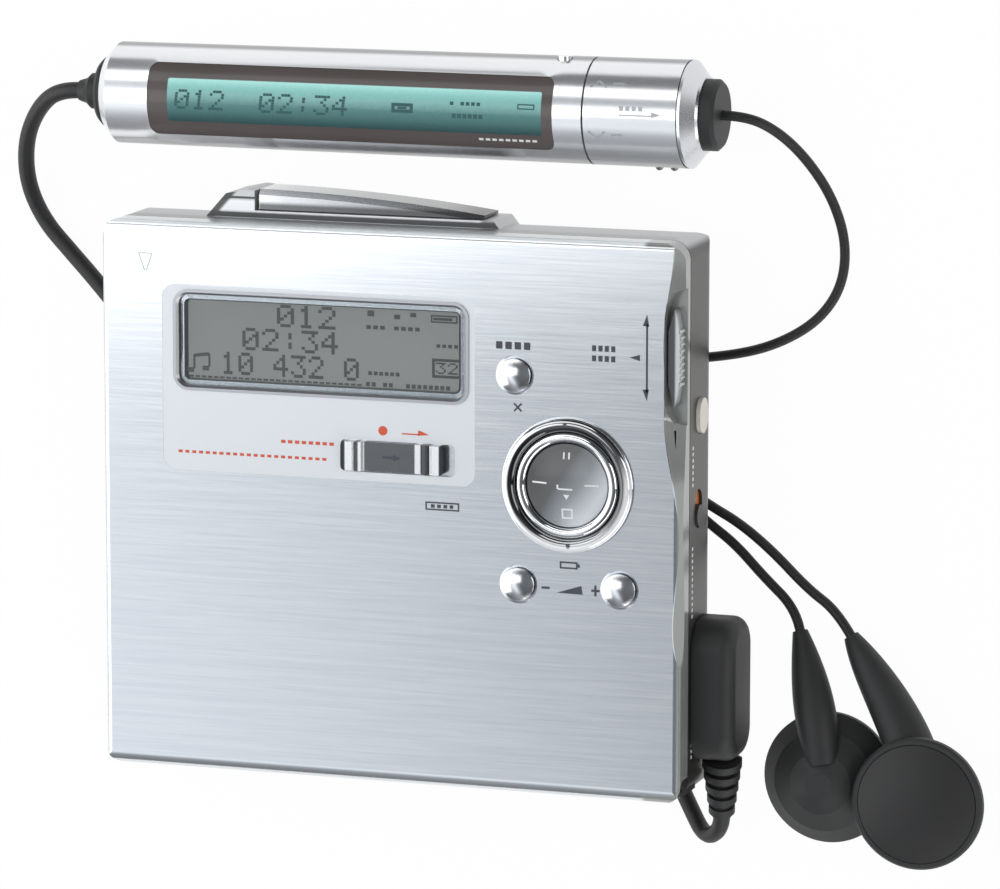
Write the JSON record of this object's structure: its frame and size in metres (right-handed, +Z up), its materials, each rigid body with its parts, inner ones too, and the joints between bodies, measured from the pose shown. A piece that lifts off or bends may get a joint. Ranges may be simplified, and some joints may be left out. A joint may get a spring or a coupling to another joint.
{
  "type": "portable minidisc player",
  "caption": "Pocket disc player with hinged lid and coupled disc holder, stick remote on a thick lead, and wired earbuds, laid flat.",
  "frame": {"origin": "middle of the footprint of the player, remote and earbuds, at the height they stand on", "axes": "+X to the right of the front panel, +Y towards the opening edge and the remote, +Z up out of the front panel"},
  "size_m": [0.1346, 0.1036, 0.0206],
  "materials": {
    "lid_skin": "brushed",
    "plate": "satin",
    "bright": "polished",
    "window": "clear",
    "lcd": "matt",
    "rear": "satin",
    "dark": "matt",
    "steel": "plain",
    "board": "matt",
    "cell": "satin",
    "cream": "satin",
    "pad": "satin",
    "remote_skin": "satin",
    "remote_window": "clear",
    "remote_lcd": "matt",
    "cord": "matt",
    "bud": "matt",
    "grille": "dark"
  },
  "bodies": {
    "rear_case": {"remote_ring": "bright", "rear_shell": "rear", "jacks": "dark", "sled_motor": "dark", "battery_contacts": "steel", "chassis_plate": "steel", "guide_rods": "steel", "spindle_motor": "steel", "case_screws": "steel", "hinge_pins": "steel", "main_board": "board", "battery_cell": "cell", "remote_front_shell": "remote_skin", "remote_back_shell": "remote_skin", "remote_window": "remote_window", "remote_display": "remote_lcd", "lead_boot": "cord", "remote_plug": "cord", "lead_to_remote": "cord", "lead_to_plug": "cord", "lead_coil": "cord", "earphone_plug": "cord", "cord_splitter": "cord", "earphone_cord": "cord", "earphone_cord_end": "cord", "earphone_coil": "cord", "branch_left": "cord", "branch_right": "cord", "earbud_housing_left": "bud", "earbud_housing_right": "bud", "earbud_drivers": "bud", "remote_socket": "bud", "earbud_faces": "grille"},
    "battery_door": {"battery_door": "rear"},
    "turntable": {"turntable": "steel"},
    "lead_screw": {"lead_screw": "steel"},
    "pickup": {"optical_pickup": "bud"},
    "magnetic_head": {"magnetic_head": "steel"},
    "open_slider": {"open_slider": "bright"},
    "side_button": {"side_button": "cream"},
    "hold_slider": {"hold_slider": "dark"},
    "lid": {"lid_panel": "lid_skin", "display_plate": "plate", "display_bezel": "bright", "display_window": "window", "lcd_module": "lcd", "lid_frame": "dark", "button_board": "board", "control_ring": "bright"},
    "disc_holder": {"disc_holder": "steel"},
    "control_pad": {"control_pad": "pad"},
    "group_button": {"group_button": "bright"},
    "volume_down_button": {"volume_down_button": "bright"},
    "volume_up_button": {"volume_up_button": "bright"},
    "rec_slider": {"rec_slider": "bright"},
    "jog_lever": {"jog_lever": "dark"},
    "remote_knob": {"remote_knob": "remote_skin"},
    "remote_button": {"remote_button": "dark"},
    "remote_clip": {"remote_clip": "steel"}
  },
  "joints": [
    {"name": "lid_hinge", "type": "hinge", "parent": "rear_case", "child": "lid", "pos_m": [-0.01758, -0.0414, 0.0177], "axis": [1, 0, 0], "range_deg": [0, 50]},
    {"name": "holder_hinge", "type": "hinge", "parent": "rear_case", "child": "disc_holder", "pos_m": [-0.01758, -0.0393, 0.0123], "axis": [1, 0, 0], "range_deg": [0, 25]},
    {"name": "open_slide", "type": "slide", "parent": "rear_case", "child": "open_slider", "axis": [1, 0, 0], "range_m": [0, 0.0025], "stiffness_N_per_m": 150},
    {"name": "battery_door_hinge", "type": "hinge", "parent": "rear_case", "child": "battery_door", "pos_m": [-0.05658, 0.0182, 0.0113], "axis": [0, 1, 0], "range_deg": [0, 80]},
    {"name": "side_press", "type": "slide", "parent": "rear_case", "child": "side_button", "axis": [-1, 0, 0], "range_m": [0, 0.0005], "stiffness_N_per_m": 300},
    {"name": "hold_slide", "type": "slide", "parent": "rear_case", "child": "hold_slider", "axis": [0, 1, 0], "range_m": [0, 0.0018]},
    {"name": "turntable_spin", "type": "hinge", "parent": "rear_case", "child": "turntable", "pos_m": [-0.01758, -0.0054, 0.0088], "axis": [0, 0, 1], "continuous": true},
    {"name": "lead_screw_spin", "type": "hinge", "parent": "rear_case", "child": "lead_screw", "pos_m": [-0.00007, -0.0194, 0.0074], "axis": [0, -1, 0], "range_deg": [0, 3240]},
    {"name": "pickup_slide", "type": "slide", "parent": "rear_case", "child": "pickup", "axis": [0, -1, 0], "range_m": [0, 0.009]},
    {"name": "head_slide", "type": "slide", "parent": "disc_holder", "child": "magnetic_head", "axis": [0, -1, 0], "range_m": [0, 0.009]},
    {"name": "group_press", "type": "slide", "parent": "lid", "child": "group_button", "axis": [0, 0, -1], "range_m": [0, 0.0004], "stiffness_N_per_m": 300},
    {"name": "volume_down_press", "type": "slide", "parent": "lid", "child": "volume_down_button", "axis": [0, 0, -1], "range_m": [0, 0.0004], "stiffness_N_per_m": 300},
    {"name": "volume_up_press", "type": "slide", "parent": "lid", "child": "volume_up_button", "axis": [0, 0, -1], "range_m": [0, 0.0004], "stiffness_N_per_m": 300},
    {"name": "pad_press", "type": "slide", "parent": "lid", "child": "control_pad", "axis": [0, 0, -1], "range_m": [0, 0.0004], "stiffness_N_per_m": 400},
    {"name": "rec_slide", "type": "slide", "parent": "lid", "child": "rec_slider", "axis": [1, 0, 0], "range_m": [0, 0.0011]},
    {"name": "jog_slide", "type": "slide", "parent": "lid", "child": "jog_lever", "axis": [0, 1, 0], "range_m": [-0.0015, 0.0015], "stiffness_N_per_m": 120},
    {"name": "remote_knob_twist", "type": "hinge", "parent": "rear_case", "child": "remote_knob", "pos_m": [0.01365, 0.0448, 0.0094], "axis": [1, 0, 0], "range_deg": [-20, 20], "stiffness_Nm_per_rad": 0.02},
    {"name": "remote_button_press", "type": "slide", "parent": "rear_case", "child": "remote_button", "axis": [0, -1, 0], "range_m": [0, 0.0003], "stiffness_N_per_m": 300},
    {"name": "remote_clip_hinge", "type": "hinge", "parent": "rear_case", "child": "remote_clip", "pos_m": [-0.01758, 0.0448, 0.0015], "axis": [0, -1, 0], "range_deg": [0, 7], "stiffness_Nm_per_rad": 0.05}
  ],
  "couplings": [
    {"joint": "holder_hinge", "follows": "lid_hinge", "ratio": 0.5},
    {"joint": "lead_screw_spin", "follows": "pickup_slide", "rad_per_m": 6283.2},
    {"joint": "head_slide", "follows": "pickup_slide", "ratio": 1}
  ]
}
